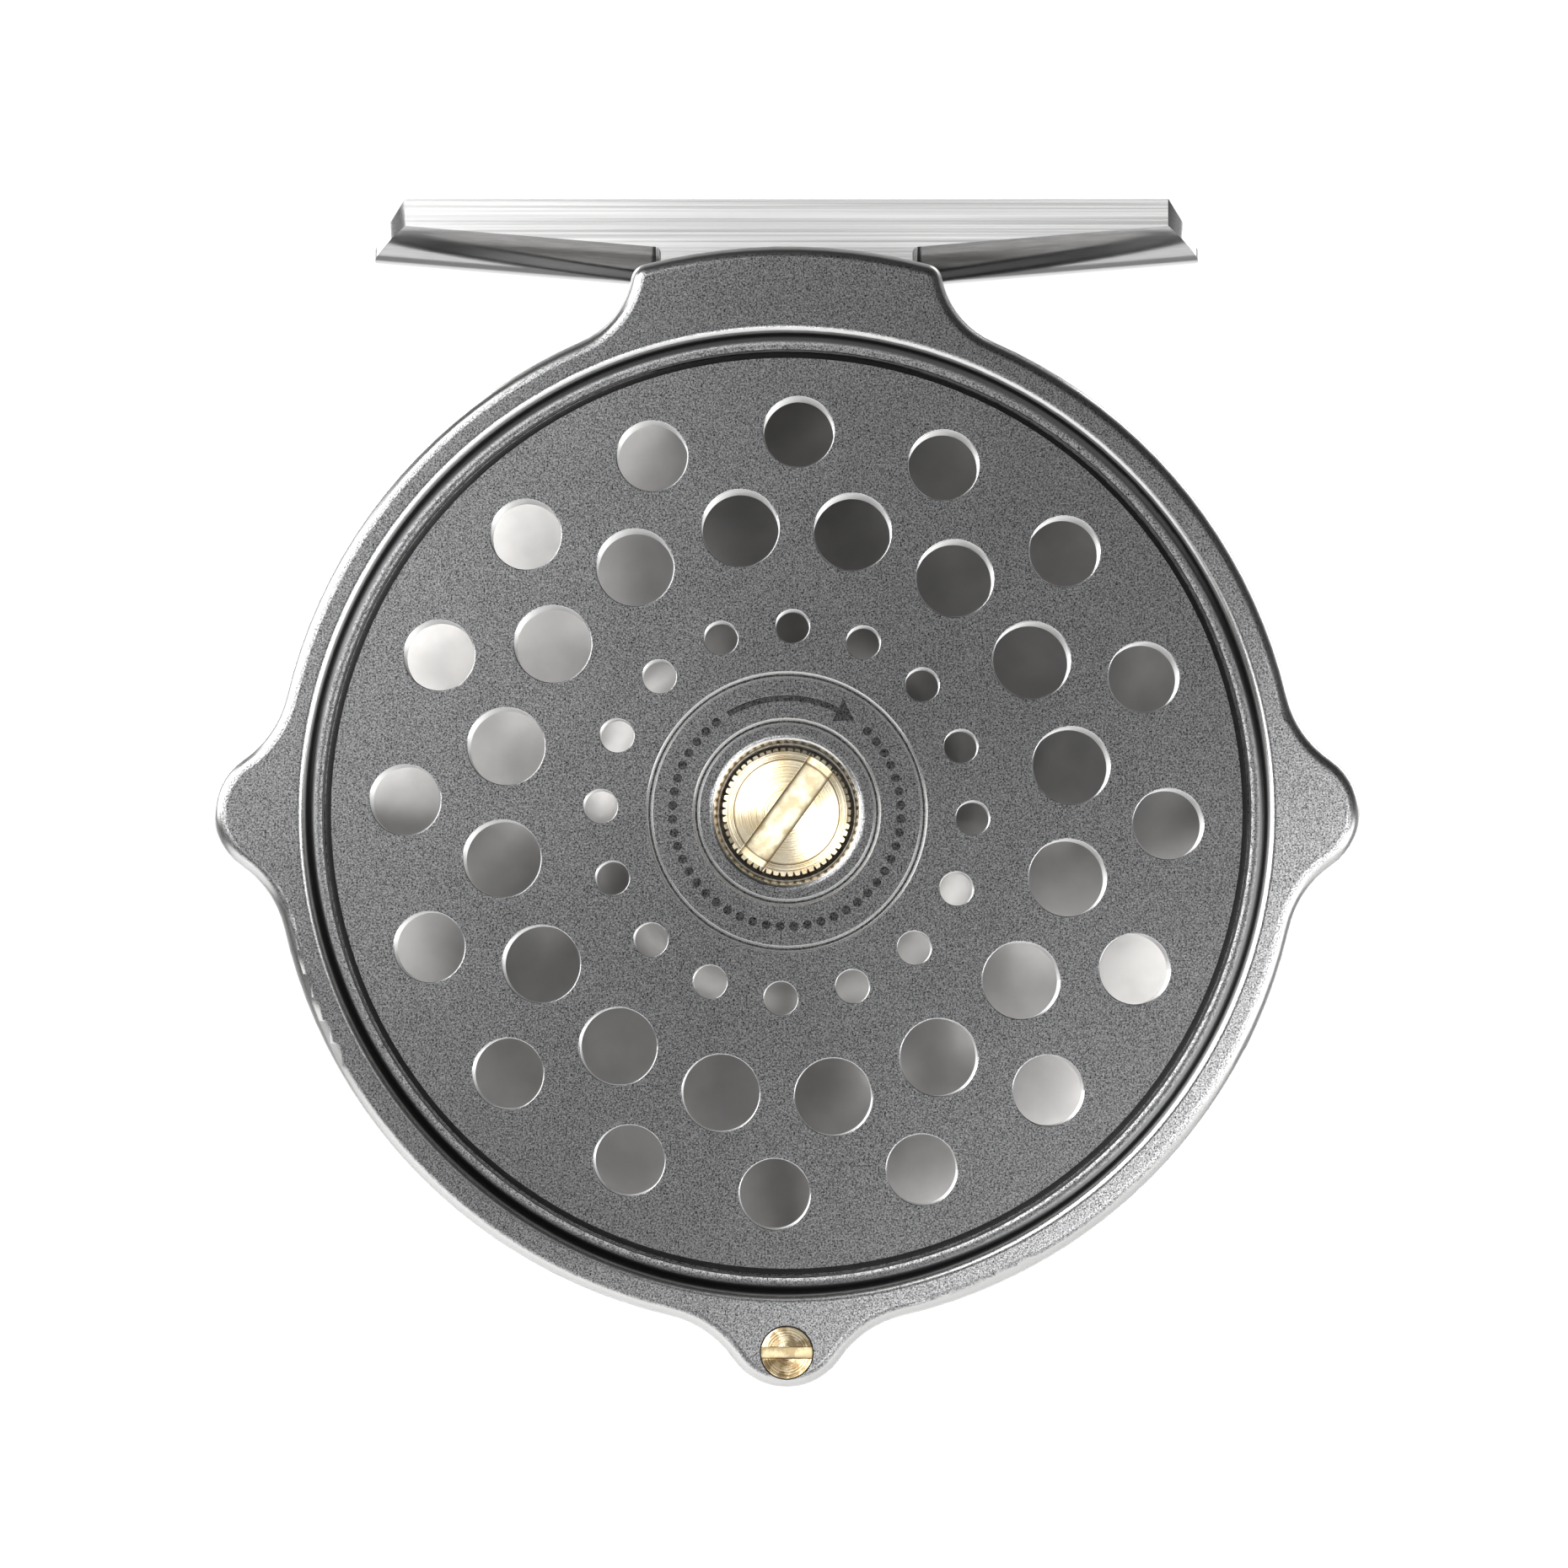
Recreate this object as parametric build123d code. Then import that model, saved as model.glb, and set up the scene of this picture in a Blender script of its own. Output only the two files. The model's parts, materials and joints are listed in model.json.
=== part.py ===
from build123d import *
import math
import os

# A three-inch caged fly reel, in millimetres.
# The spool turns about Y, the perforated drum face looks towards -Y, the crank side towards +Y,
# and the foot stands on top, towards +Z. The origin lies on the spool's axis at the cage's mid-width.

# Cage, along Y
CAGE_HALF_WIDTH = 15.5
PLATE_THICKNESS = 2.4
RING_FRONT = -CAGE_HALF_WIDTH
RING_BACK = RING_FRONT + PLATE_THICKNESS
FLANGE_FRONT = CAGE_HALF_WIDTH - PLATE_THICKNESS
FLANGE_BACK = CAGE_HALF_WIDTH

# Outline of the two cage plates, in the XZ plane
RING_RADIUS = 38.1
LUG_ANGLES = (0.0, 180.0, 270.0)
LUG_TIP_RADIUS = 4.8
LUG_TIP_REACH = 37.55
LUG_BLEND_RADIUS = 7.7
HUMP_RADIUS = 42.0
HUMP_FLANK_ANGLE = 66.34
HUMP_FLANK_RADIUS = 6.5
HUMP_CORNER_RADIUS = 1.2
OUTER_ROUNDING = 1.0
BACK_ROUNDING = 0.25

# Front ring's opening: a rounded shoulder, a hollow cove and a lip that rises a little to the bore
RING_BORE = 34.3
SHOULDER_START = 36.15
SHOULDER_RADIUS = 0.6
SHOULDER_SLOPE = 75.0
COVE_RADIUS = 1.1
LIP_CHAMFER = 0.08

# Cup of the back plate, which the drum's rear flange runs in
CUP_RADIUS = 36.2
CUP_BORE = 34.3
CUP_MOUTH = 5.0
WEB_FRONT = 10.4
WEB_BACK = 12.4
CRANK_RECESS = 34.2
HUB_RADIUS = 11.0
HUB_FRONT = 8.6

# Drum
DRUM_RADIUS = 34.1
FACE_FRONT = -14.9
FACE_BACK = -11.5
FACE_RIM_BACK = -11.1
FACE_SEAT_RADIUS = 15.3
FACE_THICKEST_RADIUS = 17.4
FACE_THICKEST_BACK = -9.3
RIM_CHAMFER = 0.44
SPIGOT_RADIUS = 10.5
SPIGOT_END = -10.9
SPIGOT_GAP = 0.05
CENTRE_BORE = 5.05
CENTRE_ROUNDING = 0.8
ARBOR_RADIUS = 12.5
ARBOR_FILLET = 3.5
REAR_FLANGE_FRONT = 5.3
REAR_FLANGE_BACK = 6.5
FLANGE_EDGE_ROUNDING = 0.3

# Ventilation holes of the drum face: circle radius, hole radius, first angle, edge rounding
VENTS_PER_CIRCLE = 16
VENT_CIRCLES = (
    (28.19, 2.60, 88.2, 0.1),
    (21.30, 2.85, 99.3, 0.1),
    (13.76, 1.24, 88.2, 0.08),
)

# Engraving of the drum face
ENGRAVING_DEPTH = 0.18
ENGRAVED_RINGS = (6.7, 10.15)
GROOVE_TOP = 0.54
GROOVE_FLOOR = 0.16
BAND_RADIUS = 8.45
ARROW_START = 121.0
ARROW_END = 62.0
ARROW_WIDTH = 0.46
ARROW_HEAD_HALF_WIDTH = 0.95
DOT_RADIUS = 0.34
DOT_PITCH = 7.0

# Screw that holds the drum on its spindle
SCREW_HEAD_RADIUS = 4.74
SCREW_HEAD_FRONT = -15.2
SCREW_HEAD_BACK = -11.1
SERRATIONS = 54
SERRATION_DEPTH = 0.34
TOOTH_HALF_SHARE = 0.27
DISH_RADIUS = 3.88
DISH_DEPTH = 0.32
DISH_LINE_WIDTH = 0.12
DISH_LINE_DEPTH = 0.12
HEAD_BEVEL = 0.3
BEVEL_CLEARANCE = 0.01
SLOT_WIDTH = 2.18
SLOT_LENGTH = 7.76
SLOT_DEPTH = 1.1
SLOT_ANGLE = 54.0
SCREW_SHANK_RADIUS = 1.9
SCREW_SHANK_END = -2.0

# Spindle, which is square where the drum slides on
DRIVE_FLATS = 5.6
DRIVE_CLEARANCE = 0.04
SPINDLE_TIP = -9.4
SPINDLE_BORE = 1.95
JOURNAL_RADIUS = 4.0
JOURNAL_START = 8.3
SPINDLE_FLANGE = 7.8

# Ball race
BALL_COUNT = 12
BALL_RADIUS = 1.15
BALL_CIRCLE = 6.8
BALL_Y = 10.4
GROOVE_RADIUS = 1.2
RACE_FRONT = 9.2
RACE_BACK = 11.6
INNER_RACE_OUTSIDE = 5.9
OUTER_RACE_INSIDE = 7.7
OUTER_RACE_OUTSIDE = 9.5

# Click check
RATCHET_TEETH = 24
RATCHET_TIP = 9.0
RATCHET_ROOT = 7.8
RATCHET_BACK = 8.0
RATCHET_TOOTH_HALF_ANGLE = 0.4
PAWL_FRONT = 6.9
PAWL_BACK = 8.3
PAWL_PIVOT = (10.5, 11.0)
PAWL_HUB = 2.2
PAWL_LIFT = 12.0
POST_RADIUS = 1.0
SPRING_POST = (-12.5, 15.5)
SPRING_THICKNESS = 0.35
SPRING_LIFT = 10.5

# Crank and handle
CRANK_RADIUS = 33.9
CRANK_FRONT = 12.8
CRANK_BACK = 14.9
HANDLE_OFFSET = 26.0
HANDLE_PIN = 1.5
HANDLE_BUSH = 2.1
KNOB_START = 16.0
KNOB_END = 29.6

# Pillars and line guard
PILLAR_REACH = 39.8
PILLAR_RADIUS = 1.9
SPIGOT_HOLE = 1.2
SPIGOT_DEPTH = 1.2
GUARD_PIN_RADIUS = 1.5
GUARD_BORE = 1.56
GUARD_WAIST = 2.1
GUARD_END = 2.5

# Foot and its bridge
FOOT_TOP = 46.6
FOOT_HALF_WIDTH = 6.4
FOOT_HALF_LENGTH = 31.45
FOOT_LIP_HALF_LENGTH = 28.8
CHANNEL_RADIUS = 7.7
CHANNEL_FLOOR = 43.25
WING_LOW_AT_PEDESTAL = 40.75
WING_LOW_AT_TIP = 42.6
WING_UNDERSIDE_RADIUS = 10.4
PEDESTAL_HALF_LENGTH = 9.5
PEDESTAL_ROUNDING = 0.4
BRIDGE_TOP = 39.6
BRIDGE_HALF_LENGTH = 10.5
BRIDGE_UNDERSIDE = 36.5
BRIDGE_PIN = (7.0, 37.8)
FOOT_SCREW_X = 6.0


def rod(radius, y0, y1, x=0.0, z=0.0):
    """Round bar along Y from y0 to y1, with its axis through (x, z)."""
    bar = Cylinder(radius, y1 - y0, align=(Align.CENTER, Align.CENTER, Align.MIN))
    return Pos(x, y1, z) * Rot(90, 0, 0) * bar


def tube(inside, outside, y0, y1, x=0.0, z=0.0):
    """Round tube along Y."""
    return rod(outside, y0, y1, x, z) - rod(inside, y0, y1, x, z)


def cone(radius_0, radius_1, y0, y1, x=0.0, z=0.0):
    """Cone along Y, radius_0 at y0 and radius_1 at y1."""
    body = Cone(radius_1, radius_0, y1 - y0, align=(Align.CENTER, Align.CENTER, Align.MIN))
    return Pos(x, y1, z) * Rot(90, 0, 0) * body


def slab(face, y0, y1):
    """Plate along Y from y0 to y1 of a face drawn in (x, z)."""
    return Pos(0, y1, 0) * extrude(Plane.XZ * face, amount=y1 - y0)


def turned(*edges):
    """Solid of revolution about Y of a closed outline drawn in (radius, y)."""
    return revolve(make_face(list(edges)), Axis.Y)


def polar(radius, degrees):
    """Point of the XZ plane."""
    angle = math.radians(degrees)
    return Vector(radius * math.cos(angle), radius * math.sin(angle))


def corner_angle(side_a, side_b, opposite):
    """Angle between two sides of a triangle, in degrees."""
    cosine = (side_a**2 + side_b**2 - opposite**2) / (2 * side_a * side_b)
    return math.degrees(math.acos(cosine))


def short_arc(start, centre, end):
    """Arc about centre from start to end, the shorter way round."""
    radius = (start - centre).length
    bulge = (start - centre + end - centre).normalized() * radius
    return ThreePointArc(start, centre + bulge, end)


def slotted(head, y0, y1, width, length, x=0.0, z=0.0, turn=0.0):
    """Screw head with a screwdriver slot between y0 and y1."""
    cutter = Pos(x, (y0 + y1) / 2, z) * Rot(0, -turn, 0) * Box(length, y1 - y0, width)
    return head - cutter


def ring_arc(start, end):
    """Stretch of the plates' round rim, in degrees."""
    return ThreePointArc(
        polar(RING_RADIUS, start),
        polar(RING_RADIUS, (start + end) / 2),
        polar(RING_RADIUS, end),
    )


def lug_half_angle():
    return corner_angle(
        RING_RADIUS + LUG_BLEND_RADIUS,
        LUG_TIP_REACH,
        LUG_TIP_RADIUS + LUG_BLEND_RADIUS,
    )


def lug_edges(middle):
    """Rounded lug with its two hollow blends into the rim."""
    tip = polar(LUG_TIP_REACH, middle)
    spread = lug_half_angle()
    edges = []
    joints = []
    for side in (-1, 1):
        blend = polar(RING_RADIUS + LUG_BLEND_RADIUS, middle + side * spread)
        on_rim = polar(RING_RADIUS, middle + side * spread)
        on_tip = tip + (blend - tip).normalized() * LUG_TIP_RADIUS
        edges.append(short_arc(on_rim, blend, on_tip))
        joints.append(on_tip)
    edges.append(short_arc(joints[0], tip, joints[1]))
    return edges


def hump_edges():
    """Raised top of the plates, with hollow flanks and rounded corners."""
    flank_reach = RING_RADIUS + HUMP_FLANK_RADIUS
    corner_reach = HUMP_RADIUS - HUMP_CORNER_RADIUS
    turn = corner_angle(flank_reach, corner_reach, HUMP_FLANK_RADIUS + HUMP_CORNER_RADIUS)
    edges = []
    tops = []
    for flank_angle, side in ((HUMP_FLANK_ANGLE, 1), (180.0 - HUMP_FLANK_ANGLE, -1)):
        flank = polar(flank_reach, flank_angle)
        corner = polar(corner_reach, flank_angle + side * turn)
        on_rim = polar(RING_RADIUS, flank_angle)
        on_flank = flank + (corner - flank).normalized() * HUMP_FLANK_RADIUS
        on_top = polar(HUMP_RADIUS, flank_angle + side * turn)
        edges.append(short_arc(on_rim, flank, on_flank))
        edges.append(short_arc(on_flank, corner, on_top))
        tops.append(on_top)
    edges.append(short_arc(tops[0], Vector(0, 0), tops[1]))
    return edges


def plate_outline():
    """Outline that both cage plates share."""
    spread = lug_half_angle()
    edges = hump_edges()
    for middle in LUG_ANGLES:
        edges += lug_edges(middle)
    edges.append(ring_arc(spread, HUMP_FLANK_ANGLE))
    edges.append(ring_arc(180.0 - HUMP_FLANK_ANGLE, 180.0 - spread))
    edges.append(ring_arc(180.0 + spread, 270.0 - spread))
    edges.append(ring_arc(270.0 + spread, 360.0 - spread))
    return make_face(edges)


def rounded_plate(y0, y1, front_rounding, back_rounding):
    """Cage plate without its holes."""
    plate = slab(plate_outline(), y0, y1)
    faces = plate.faces().sort_by(Axis.Y)
    plate = fillet(faces[0].edges(), front_rounding)
    back = plate.faces().sort_by(Axis.Y)[-1]
    return fillet(back.edges(), back_rounding)


def on_circle(centre, radius, degrees):
    """Point of a circle, drawn in (radius, y), at an angle from the +Y side towards larger radii."""
    angle = math.radians(degrees)
    return centre + Vector(radius * math.sin(angle), radius * math.cos(angle))


def ring_cove():
    """What is turned away round the front ring's opening: shoulder, cove and a narrow flat lip."""
    shoulder = Vector(SHOULDER_START, RING_FRONT + SHOULDER_RADIUS)
    flat_end = Vector(SHOULDER_START, RING_FRONT)
    shoulder_middle = on_circle(shoulder, SHOULDER_RADIUS, 180.0 + SHOULDER_SLOPE / 2)
    steepest = on_circle(shoulder, SHOULDER_RADIUS, 180.0 + SHOULDER_SLOPE)
    cove = steepest + (steepest - shoulder).normalized() * COVE_RADIUS
    cove_middle = on_circle(cove, COVE_RADIUS, SHOULDER_SLOPE / 2)
    bottom = on_circle(cove, COVE_RADIUS, 0.0)
    lip = (RING_BORE + LIP_CHAMFER, bottom.Y)
    bore_edge = (RING_BORE, bottom.Y + LIP_CHAMFER)
    above = RING_FRONT - 1.0
    return turned(
        ThreePointArc(flat_end, shoulder_middle, steepest),
        ThreePointArc(steepest, cove_middle, bottom),
        Line(bottom, lip),
        Line(lip, bore_edge),
        Line(bore_edge, (RING_BORE, above)),
        Line((RING_BORE, above), (SHOULDER_START, above)),
        Line((SHOULDER_START, above), flat_end),
    )


def front_ring():
    """Front plate: a ring with three lugs and the hump, and a cove round its opening."""
    plate = rounded_plate(RING_FRONT, RING_BACK, OUTER_ROUNDING, BACK_ROUNDING)
    plate -= rod(RING_BORE, RING_FRONT, RING_BACK)
    plate -= ring_cove()
    for side in (-1, 1):
        plate -= rod(SPIGOT_HOLE, RING_BACK - SPIGOT_DEPTH, RING_BACK, side * PILLAR_REACH, 0)
        plate -= rod(1.0, RING_BACK - SPIGOT_DEPTH, RING_BACK, side * BRIDGE_PIN[0], BRIDGE_PIN[1])
    plate -= rod(2.0, RING_FRONT, RING_FRONT + 0.9, 0, -PILLAR_REACH)
    plate -= rod(0.95, RING_FRONT, RING_BACK, 0, -PILLAR_REACH)
    return plate


def countersunk_hole(head, shank, y_back, y_front, x, z):
    """Countersunk hole whose mouth is at y_back."""
    sink = head - shank
    return cone(shank, head, y_back - sink, y_back, x, z) + rod(shank, y_front, y_back, x, z)


def countersunk_screw(head, shank, y_back, y_front, x, z, turn=0.0):
    """Slotted countersunk screw, flush at y_back, pointing towards -Y."""
    sink = head - shank
    body = cone(shank, head, y_back - sink, y_back, x, z) + rod(shank, y_front, y_back - sink, x, z)
    return slotted(body, y_back - 0.45 * sink, y_back + 0.1, 0.4, 3 * head, x, z, turn)


def back_plate():
    """Rear plate: flange, cup for the drum's rear flange, web and the hub for the ball race."""
    plate = rounded_plate(FLANGE_FRONT, FLANGE_BACK, BACK_ROUNDING, OUTER_ROUNDING)
    plate += rod(CUP_RADIUS, CUP_MOUTH, FLANGE_BACK - 1.0)
    plate -= rod(CUP_BORE, CUP_MOUTH, WEB_FRONT)
    plate -= rod(CRANK_RECESS, WEB_BACK, FLANGE_BACK)
    plate += rod(HUB_RADIUS, HUB_FRONT, WEB_BACK)
    plate -= rod(OUTER_RACE_OUTSIDE, HUB_FRONT, RACE_BACK)
    plate -= rod(SPINDLE_FLANGE + 0.6, RACE_BACK, WEB_BACK)
    for side in (-1, 1):
        plate -= countersunk_hole(1.7, 0.95, FLANGE_BACK, FLANGE_FRONT, side * PILLAR_REACH, 0)
        plate -= countersunk_hole(1.7, 0.95, FLANGE_BACK, FLANGE_FRONT, side * BRIDGE_PIN[0], BRIDGE_PIN[1])
        plate -= rod(POST_RADIUS, WEB_FRONT, WEB_FRONT + 1.0, side * PAWL_PIVOT[0], side * PAWL_PIVOT[1])
        plate -= rod(0.9, WEB_FRONT, WEB_FRONT + 1.0, side * SPRING_POST[0], side * SPRING_POST[1])
    plate -= rod(2.0, FLANGE_BACK - 0.9, FLANGE_BACK, 0, -PILLAR_REACH)
    plate -= rod(0.95, FLANGE_FRONT, FLANGE_BACK, 0, -PILLAR_REACH)
    return plate


def pillar(side):
    """Raised pillar, staked into the front ring and tapped for a screw at the back."""
    x = side * PILLAR_REACH
    body = rod(PILLAR_RADIUS, RING_BACK, FLANGE_FRONT, x, 0)
    body += rod(SPIGOT_HOLE, RING_BACK - SPIGOT_DEPTH, RING_BACK, x, 0)
    return body - rod(0.95, FLANGE_FRONT - 7.0, FLANGE_FRONT, x, 0)


def pillar_screws():
    screws = [
        countersunk_screw(1.7, 0.95, FLANGE_BACK, FLANGE_FRONT - 6.0, side * PILLAR_REACH, 0, 35 * side)
        for side in (-1, 1)
    ]
    return Compound(screws)


def bridge_screws():
    screws = [
        countersunk_screw(
            1.7, 0.95, FLANGE_BACK, FLANGE_FRONT - 5.0, side * BRIDGE_PIN[0], BRIDGE_PIN[1], 20 + 50 * side
        )
        for side in (-1, 1)
    ]
    return Compound(screws)


def guard_pin():
    """Fixed pin between the bottom lugs, tapped at both ends."""
    body = rod(GUARD_PIN_RADIUS, RING_BACK, FLANGE_FRONT, 0, -PILLAR_REACH)
    body -= rod(0.95, RING_BACK, RING_BACK + 7.0, 0, -PILLAR_REACH)
    return body - rod(0.95, FLANGE_FRONT - 7.0, FLANGE_FRONT, 0, -PILLAR_REACH)


def guard_screw(side):
    """Cheese-head screw in the counterbore of a bottom lug; side is -1 at the front, 1 at the back."""
    face = side * CAGE_HALF_WIDTH
    inner = face - side * 0.9
    tip = face - side * (PLATE_THICKNESS + 6.0)
    head = rod(1.95, min(face, inner), max(face, inner), 0, -PILLAR_REACH)
    rim = head.faces().sort_by(Axis.Y)[0 if side < 0 else -1].edges()
    head = fillet(rim, 0.15)
    head = slotted(head, face - 0.45, face + 0.45, 0.9, 5.0, 0, -PILLAR_REACH, -3.0 * side)
    return head + rod(0.95, min(inner, tip), max(inner, tip), 0, -PILLAR_REACH)


def line_guard():
    """Revolving sleeve on the bottom pin, slightly waisted."""
    half = FLANGE_FRONT - 0.15
    outline = make_face(
        [
            Line((GUARD_BORE, -half), (GUARD_END - 0.2, -half)),
            Line((GUARD_END - 0.2, -half), (GUARD_END, -half + 0.4)),
            Line((GUARD_END, -half + 0.4), (GUARD_END, -half + 1.6)),
            ThreePointArc((GUARD_END, -half + 1.6), (GUARD_WAIST, 0), (GUARD_END, half - 1.6)),
            Line((GUARD_END, half - 1.6), (GUARD_END, half - 0.4)),
            Line((GUARD_END, half - 0.4), (GUARD_END - 0.2, half)),
            Line((GUARD_END - 0.2, half), (GUARD_BORE, half)),
            Line((GUARD_BORE, half), (GUARD_BORE, -half)),
        ]
    )
    return Pos(0, 0, -PILLAR_REACH) * revolve(outline, Axis.Y)


def foot_bridge():
    """Block between the two humps, which the foot stands on."""
    width = FLANGE_FRONT - RING_BACK
    block = Pos(0, 0, BRIDGE_TOP) * Box(
        2 * BRIDGE_HALF_LENGTH, width, 8.0, align=(Align.CENTER, Align.CENTER, Align.MAX)
    )
    block -= rod(BRIDGE_UNDERSIDE, RING_BACK, FLANGE_FRONT)
    for side in (-1, 1):
        block += rod(1.0, RING_BACK - SPIGOT_DEPTH, RING_BACK, side * BRIDGE_PIN[0], BRIDGE_PIN[1])
        block -= rod(0.95, FLANGE_FRONT - 6.0, FLANGE_FRONT, side * BRIDGE_PIN[0], BRIDGE_PIN[1])
        block -= Pos(side * FOOT_SCREW_X, 0, BRIDGE_TOP) * Cylinder(
            0.95, 2.6, align=(Align.CENTER, Align.CENTER, Align.MAX)
        )
    return block


def foot_blank():
    """Foot in plan, with its round ends, as a block."""
    corners = [
        Vector(side_x * FOOT_LIP_HALF_LENGTH, side_y * FOOT_HALF_WIDTH)
        for side_x, side_y in ((-1, -1), (1, -1), (1, 1), (-1, 1))
    ]
    outline = make_face(
        [
            Line(corners[0], corners[1]),
            ThreePointArc(corners[1], (FOOT_HALF_LENGTH, 0), corners[2]),
            Line(corners[2], corners[3]),
            ThreePointArc(corners[3], (-FOOT_HALF_LENGTH, 0), corners[0]),
        ]
    )
    return Pos(0, 0, BRIDGE_TOP) * extrude(outline, amount=FOOT_TOP - BRIDGE_TOP)


def wing_underside(side):
    """Barrel that rounds the underside of one wing and tapers it towards its tip."""
    run = FOOT_HALF_LENGTH - PEDESTAL_HALF_LENGTH
    rise = WING_LOW_AT_TIP - WING_LOW_AT_PEDESTAL
    slope = math.degrees(math.atan2(rise, run))
    barrel = Cylinder(WING_UNDERSIDE_RADIUS, 120.0)
    axis_height = WING_LOW_AT_PEDESTAL + WING_UNDERSIDE_RADIUS / math.cos(math.radians(slope))
    place = Pos(side * PEDESTAL_HALF_LENGTH, 0, axis_height) * Rot(0, -side * slope, 0) * Rot(0, 90, 0)
    half_space = Pos(side * 50, 0, FOOT_TOP) * Box(100, 100, 100)
    return place * barrel & half_space


def foot():
    """Foot: a long crescent section with thin wings, on a pedestal."""
    blank = foot_blank()
    wings = blank & (wing_underside(-1) + wing_underside(1))
    pedestal = Pos(0, 0, BRIDGE_TOP) * Box(
        2 * PEDESTAL_HALF_LENGTH,
        2 * FOOT_HALF_WIDTH,
        4.5,
        align=(Align.CENTER, Align.CENTER, Align.MIN),
    )
    body = wings + pedestal
    steps = [
        edge
        for edge in body.edges()
        if abs(abs(edge.center().X) - PEDESTAL_HALF_LENGTH) < 0.05
        and edge.center().Z > WING_LOW_AT_PEDESTAL - 0.2
        and edge.length > FOOT_HALF_WIDTH
    ]
    body = fillet(steps, PEDESTAL_ROUNDING)
    channel = Pos(0, 0, CHANNEL_FLOOR + CHANNEL_RADIUS) * Rot(0, 90, 0) * Cylinder(CHANNEL_RADIUS, 80.0)
    body -= channel
    for side in (-1, 1):
        hole = Cylinder(0.95, 20.0) + Pos(0, 0, CHANNEL_FLOOR - 1.0 - BRIDGE_TOP) * Cylinder(
            1.8, 10.0, align=(Align.CENTER, Align.CENTER, Align.MIN)
        )
        body -= Pos(side * FOOT_SCREW_X, 0, BRIDGE_TOP) * hole
    return body


def foot_screws():
    """Cheese-head screws sunk below the foot's channel."""
    screws = []
    for side in (-1, 1):
        seat = CHANNEL_FLOOR - 1.0
        head = Cylinder(1.75, 0.9, align=(Align.CENTER, Align.CENTER, Align.MIN))
        head -= Pos(0, 0, 0.5) * Rot(0, 0, 40 * side) * Box(
            5.0, 0.45, 1.0, align=(Align.CENTER, Align.CENTER, Align.MIN)
        )
        shank = Cylinder(0.95, seat - BRIDGE_TOP + 2.4, align=(Align.CENTER, Align.CENTER, Align.MAX))
        screws.append(Pos(side * FOOT_SCREW_X, 0, seat) * (head + shank))
    return Compound(screws)


def engraved_band():
    """Turning arrow and dots of the drum face, as flat faces in (x, z)."""
    half = ARROW_WIDTH / 2
    marks = []
    middle = (ARROW_START + ARROW_END) / 2
    outer = [polar(BAND_RADIUS + half, angle) for angle in (ARROW_START, middle, ARROW_END)]
    inner = [polar(BAND_RADIUS - half, angle) for angle in (ARROW_END, middle, ARROW_START)]
    shaft = make_face(
        [
            ThreePointArc(*outer),
            Line(outer[2], inner[0]),
            ThreePointArc(*inner),
            Line(inner[2], outer[0]),
        ]
    )
    marks.append(shaft)
    head = make_face(
        Polyline(
            polar(BAND_RADIUS + ARROW_HEAD_HALF_WIDTH, ARROW_END + 1.5),
            polar(BAND_RADIUS, ARROW_END - 8.5),
            polar(BAND_RADIUS - ARROW_HEAD_HALF_WIDTH, ARROW_END + 1.5),
            close=True,
        )
    )
    marks.append(head)
    first = ARROW_START + DOT_PITCH
    last = 360.0 + ARROW_END - 2.4 * DOT_PITCH
    count = round((last - first) / DOT_PITCH)
    for index in range(count + 1):
        angle = first + (last - first) * index / count
        spot = polar(BAND_RADIUS, angle)
        marks.append(Pos(spot.X, spot.Y) * Circle(DOT_RADIUS))
    return marks


def ring_groove(radius):
    """Round groove with sloping sides, cut into the drum face."""
    floor = FACE_FRONT + ENGRAVING_DEPTH
    corners = (
        (radius - GROOVE_TOP / 2, FACE_FRONT),
        (radius - GROOVE_FLOOR / 2, floor),
        (radius + GROOVE_FLOOR / 2, floor),
        (radius + GROOVE_TOP / 2, FACE_FRONT),
    )
    return revolve(make_face(Polyline(*corners, close=True)), Axis.Y)


def drum_face():
    """Perforated front plate of the drum, with the spigot that centres it in the arbor."""
    outline = Polyline(
        (CENTRE_BORE, FACE_FRONT),
        (DRUM_RADIUS - RIM_CHAMFER, FACE_FRONT),
        (DRUM_RADIUS, FACE_FRONT + RIM_CHAMFER),
        (DRUM_RADIUS, FACE_RIM_BACK),
        (FACE_THICKEST_RADIUS, FACE_THICKEST_BACK),
        (FACE_SEAT_RADIUS, FACE_BACK),
        (SPIGOT_RADIUS, FACE_BACK),
        (SPIGOT_RADIUS, SPIGOT_END),
        (CENTRE_BORE, SPIGOT_END),
        close=True,
    )
    face = revolve(make_face(outline), Axis.Y)
    for circle, hole, first_angle, _ in VENT_CIRCLES:
        for index in range(VENTS_PER_CIRCLE):
            spot = polar(circle, first_angle + index * 360.0 / VENTS_PER_CIRCLE)
            face -= rod(hole, FACE_FRONT, FACE_THICKEST_BACK, spot.X, spot.Y)
    rims = [
        edge
        for edge in face.edges().filter_by(GeomType.CIRCLE)
        if abs(edge.center().Y - FACE_FRONT) < 0.01
    ]
    for _, hole, _, rounding in VENT_CIRCLES:
        mouths = [edge for edge in rims if abs(edge.radius - hole) < 0.01]
        face = fillet(mouths, rounding)
        rims = [
            edge
            for edge in face.edges().filter_by(GeomType.CIRCLE)
            if abs(edge.center().Y - FACE_FRONT) < 0.01
        ]
    mouth = [edge for edge in rims if abs(edge.radius - CENTRE_BORE) < 0.01]
    face = fillet(mouth, CENTRE_ROUNDING)
    floor = FACE_FRONT + ENGRAVING_DEPTH
    for radius in ENGRAVED_RINGS:
        face -= ring_groove(radius)
    for mark in engraved_band():
        face -= slab(mark, FACE_FRONT - 0.1, floor)
    for spot in face_screw_spots():
        face -= rod(0.9, SPIGOT_END - 1.9, SPIGOT_END, spot.X, spot.Y)
    return face


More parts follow.
